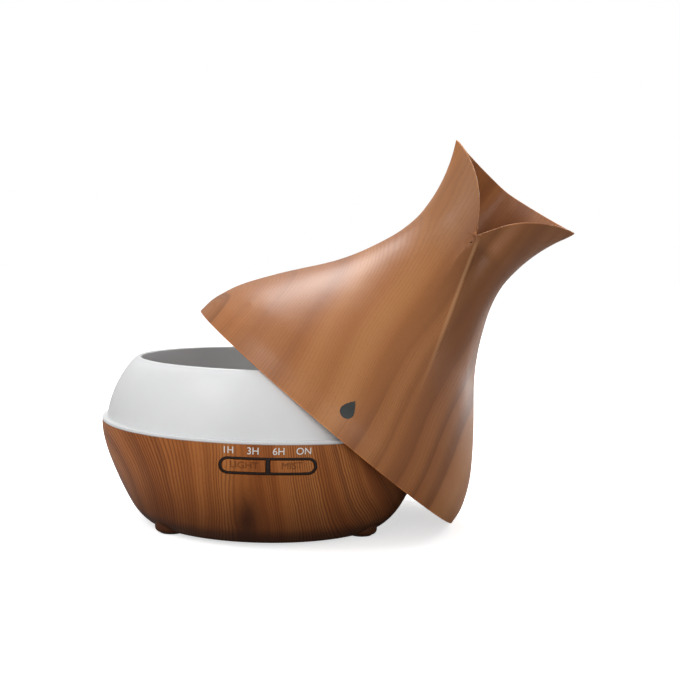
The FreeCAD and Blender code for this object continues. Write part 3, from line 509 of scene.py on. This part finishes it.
def dress_all():
    dress(bowl_wood(), "base_shell")
    dress(milky_white("tank_white", (0.80, 0.805, 0.81), 0.38), "water_tank")
    dress(milky_white("duct_white", (0.78, 0.79, 0.81), 0.42), "air_duct", "air_duct_cap")
    dress(moulded("plate_black", (0.022, 0.022, 0.024), 0.55, 0.5), "bottom_plate")
    dress(moulded("rubber_black", (0.030, 0.030, 0.032), 0.85, 0.6), "foot_pads")
    dress(moulded("fan_black", (0.018, 0.018, 0.020), 0.45), "fan_frame", "fan_rotor")
    dress(moulded("inlet_black", (0.020, 0.020, 0.022), 0.4), "power_inlet")
    dress(moulded("switch_black", (0.025, 0.025, 0.027), 0.5), "button_switches")
    dress(moulded("chip_black", (0.035, 0.036, 0.040), 0.5), "board_components")
    dress(moulded("plunger_brown", (0.16, 0.09, 0.05), 0.45), "light_plunger", "mist_plunger")
    dress(moulded("holder_white", (0.72, 0.72, 0.70), 0.45), "mist_disc_holder")
    dress(moulded("seal_silicone", (0.60, 0.62, 0.63), 0.35, Transmission_Weight=0.3), "mist_disc_seal")
    dress(moulded("lamp_resin", (0.90, 0.86, 0.66), 0.2, 0.05), "light_ring_lamps", "timer_lamps")
    dress(circuit_board("board_green", (0.012, 0.110, 0.040), (0.06, 0.26, 0.10)),
          "main_board", "button_board")
    dress(circuit_board("board_white", (0.78, 0.79, 0.78), (0.55, 0.56, 0.55)), "light_ring_board")
    dress(metal("disc_steel", (0.72, 0.73, 0.75), 0.22), "mist_disc")
    dress(metal("screw_zinc", (0.62, 0.63, 0.66), 0.32),
          "bottom_screws", "mist_disc_screws", "fan_screws", "main_board_screws")
    dress(metal("sink_aluminium", (0.68, 0.69, 0.72), 0.35, 0.9), "heat_sink")
    dress(metal("nut_nickel", (0.60, 0.59, 0.57), 0.28), "power_inlet_nut")
    dress(metal("pin_brass", (0.78, 0.60, 0.28), 0.25), "power_inlet_pin")


# Pieces ---------------------------------------------------------------------------------------------
def copy_of(node, name):
    """A copy of a CAD piece to be worked on, with its loose triangles merged."""
    bpy.ops.object.select_all(action="DESELECT")
    source = frame["nodes"][node]
    source.select_set(True)
    bpy.context.view_layer.objects.active = source
    bpy.ops.object.duplicate()
    piece = bpy.context.object
    piece.name = name
    piece.data.name = name
    del piece["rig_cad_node"]
    bpy.ops.object.parent_clear(type="CLEAR_KEEP_TRANSFORM")
    bpy.ops.mesh.customdata_custom_splitnormals_clear()
    bpy.ops.object.mode_set(mode="EDIT")
    bpy.ops.mesh.select_all(action="SELECT")
    bpy.ops.mesh.remove_doubles(threshold=0.002 * MM)
    bpy.ops.mesh.select_all(action="DESELECT")
    bpy.ops.object.mode_set(mode="OBJECT")
    piece.data.materials.clear()
    return piece


def spare(piece, spared):
    """Deselect the edges that have an end where a test says so."""
    bpy.ops.object.mode_set(mode="OBJECT")
    points = piece.data.vertices
    chosen = [edge.index for edge in piece.data.edges
              if edge.select and not any(spared(points[end].co) for end in edge.vertices)]
    bpy.ops.object.mode_set(mode="EDIT")
    bpy.ops.mesh.select_all(action="DESELECT")
    bpy.ops.object.mode_set(mode="OBJECT")
    for index in chosen:
        piece.data.edges[index].select = True
    bpy.ops.object.mode_set(mode="EDIT")


def round_edges(piece, angle, width, segments=3, slot=-1, spared=None):
    """Round the edges sharper than an angle, apart from those spared, and smooth the piece."""
    bpy.ops.object.select_all(action="DESELECT")
    piece.select_set(True)
    bpy.context.view_layer.objects.active = piece
    bpy.ops.object.mode_set(mode="EDIT")
    bpy.ops.mesh.select_mode(type="EDGE")
    bpy.ops.mesh.select_all(action="DESELECT")
    bpy.ops.mesh.edges_select_sharp(sharpness=math.radians(angle))
    if spared:
        spare(piece, spared)
    bpy.ops.mesh.bevel(offset=width, segments=segments, affect="EDGES", clamp_overlap=False,
                       material=slot)
    bpy.ops.object.mode_set(mode="OBJECT")
    bpy.ops.object.shade_smooth_by_angle(angle=math.radians(angle))
    even = piece.modifiers.new("even", "WEIGHTED_NORMAL")
    even.keep_sharp = True
    bpy.ops.object.modifier_apply(modifier="even")
    bpy.ops.object.select_all(action="DESELECT")


def wear(piece, *finishes):
    """Give a new piece its finishes, one to each slot."""
    for finish in finishes:
        piece.data.materials.append(finish.material)


def heal(piece, place, reach):
    """Smooth away the small folded faces round a place."""
    for vertex in piece.data.vertices:
        vertex.select = (vertex.co - place).length < reach
    bpy.context.tool_settings.mesh_select_mode = (True, False, False)
    bpy.ops.object.mode_set(mode="EDIT")
    bpy.ops.mesh.remove_doubles(threshold=0.4 * MM)
    bpy.ops.mesh.vertices_smooth(factor=0.5, repeat=14)
    bpy.ops.mesh.select_all(action="DESELECT")
    bpy.ops.object.mode_set(mode="OBJECT")


def between_edges(point):
    """Whether a point is up the cover's side, away from its rim and its mouth."""
    low, high = EDGE_FREE
    return low < (point - COVER_RIM).dot(COVER_AXIS) < high


def place_mesh(piece, matrix):
    """Put a piece at its place, and keep the place in its mesh."""
    piece.matrix_world = matrix
    bpy.ops.object.transform_apply(location=True, rotation=True, scale=True)


def make_cover():
    """The cover with its edges rounded, and paler there: partly the edges' own paler tone, partly a
    painted highlight.
    """
    cover = copy_of("cover", "cover_shell")
    # the second finish, on the rounded edges, is the same wood much paler: partly the edges' own paler
    # tone, partly a painted highlight
    wear(cover, cover_wood("cover_wood", 1.34), cover_wood("cover_edge_tone_and_highlight", 2.3))
    heal(cover, COVER_RIM + COVER_FRAME @ NOTCH_FOOT, NOTCH_REACH)
    round_edges(cover, SHARP, COVER_ROUND, 3, 1, between_edges)
    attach(cover, "cover")
    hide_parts("cover")
    return cover


def make_buttons():
    """The two button caps and their dark surround."""
    wood = bowl_wood("button_wood", 1.1, 0.0)
    for side in ("light", "mist"):
        cap = copy_of(side + "_button", side + "_button_cap")
        wear(cap, wood)
        round_edges(cap, SHARP, CAP_ROUND, 2)
        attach(cap, side + "_button")
        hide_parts(side + "_button")
    surround = copy_of("button_frame", "button_surround")
    wear(surround, moulded("frame_dark", (0.018, 0.008, 0.005), 0.4))
    round_edges(surround, SHARP + 10, FRAME_ROUND, 2)
    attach(surround, "base")
    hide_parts("button_frame")


def lay_on(piece, target, thick, lift=0.02 * MM):
    """Lay a flat piece on a curved one and give it a thickness."""
    bpy.context.view_layer.objects.active = piece
    wrap = piece.modifiers.new("wrap", "SHRINKWRAP")
    wrap.target = target
    wrap.wrap_method = "NEAREST_SURFACEPOINT"
    wrap.wrap_mode = "ABOVE_SURFACE"
    wrap.offset = lift
    bpy.ops.object.modifier_apply(modifier="wrap")
    skin = piece.modifiers.new("skin", "SOLIDIFY")
    skin.thickness = thick
    skin.offset = 1.0
    bpy.ops.object.modifier_apply(modifier="skin")


def lettering(name, words, place, height, target, finish, thick):
    """Raised lettering that faces -Y on a target's surface, centred on a place."""
    bpy.ops.object.select_all(action="DESELECT")
    bpy.ops.object.text_add()
    text = bpy.context.object
    text.data.body = words
    text.data.align_x = "CENTER"
    text.data.align_y = "CENTER"
    text.data.size = height / CAPITAL_SHARE
    text.data.resolution_u = 6
    bpy.ops.object.convert(target="MESH")
    piece = bpy.context.object
    piece.name = name
    place_mesh(piece, Matrix.Translation(place) @ Matrix.Rotation(math.radians(90), 4, "X"))
    lay_on(piece, target, thick)
    wear(piece, finish)
    bpy.ops.object.select_all(action="DESELECT")
    return piece


def make_lettering():
    """Timer marks on the bowl, and a word on each button."""
    shell = frame["nodes"]["base_shell"]
    white = moulded("print_white", (0.88, 0.88, 0.86), 0.5, 0.1, 0.2)
    for words, x in TIMER_MARKS:
        place = (x, -BOWL_R + 0.3 * MM, LEDGE_Z - TIMER_DROP)
        name = "timer_mark_" + words.lower()
        mark = lettering(name, words, place, TIMER_HEIGHT, shell, white, INK_T)
        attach(mark, "base")
    dark = bowl_wood("letter_wood", 0.55, 0.0)
    for side in ("light", "mist"):
        low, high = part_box(side + "_button")
        place = ((low.x + high.x) / 2, low.y, (low.z + high.z) / 2)
        word = lettering(side + "_word", side.upper(), place, WORD_HEIGHT,
                         bpy.data.objects[side + "_button_cap"], dark, WORD_T)
        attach(word, side + "_button")


def drop_shape(drop):
    """Draw a disc out into a drop: its upper half longer, and narrower towards the top."""
    bpy.context.tool_settings.mesh_select_mode = (True, False, False)
    for height, narrow, longer in DROP_RISES:
        bpy.ops.object.mode_set(mode="EDIT")
        bpy.ops.mesh.select_all(action="DESELECT")
        bpy.ops.object.mode_set(mode="OBJECT")
        for vertex in drop.data.vertices:
            vertex.select = vertex.co.y > (height + 0.001) * DROP_R
        bpy.ops.object.mode_set(mode="EDIT")
        bpy.ops.transform.resize(value=(narrow, longer, 1), center_override=(0, 0, 0))
        bpy.ops.object.mode_set(mode="OBJECT")


def make_drop(cover):
    """A plain drop printed on the cover, near its rim."""
    bpy.ops.mesh.primitive_circle_add(vertices=64, radius=DROP_R, fill_type="NGON")
    drop = bpy.context.object
    drop.name = "drop_mark"
    drop_shape(drop)
    bpy.ops.object.mode_set(mode="EDIT")
    bpy.ops.mesh.select_mode(type="VERT")
    for step in DROP_CUTS:
        for normal in ((1, 0, 0), (0, 1, 0)):
            bpy.ops.mesh.select_all(action="SELECT")
            bpy.ops.mesh.bisect(plane_co=[step * DROP_R * 0.25] * 3, plane_no=normal)
    bpy.ops.object.mode_set(mode="OBJECT")
    turn = Matrix.Rotation(math.radians(DROP_TURN), 3, "Z")
    out = COVER_FRAME @ (turn @ Vector((0, -1, 0)))
    side = COVER_FRAME @ (turn @ Vector((1, 0, 0)))
    centre = COVER_RIM + out * (BOWL_R - 0.8 * MM) + COVER_AXIS * DROP_HEIGHT
    spread = Matrix((side, COVER_AXIS, out)).transposed().to_4x4()
    place_mesh(drop, Matrix.Translation(centre) @ spread)
    lay_on(drop, cover, INK_T, 0.03 * MM)
    wear(drop, moulded("print_dark", (0.030, 0.034, 0.032), 0.45, 0.1, 0.4))
    bpy.ops.object.select_all(action="DESELECT")
    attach(drop, "cover")


set_camera()
set_stage()
lay_floor(pale_floor())
dress_all()
cover_shell = make_cover()
make_buttons()
make_lettering()
make_drop(cover_shell)
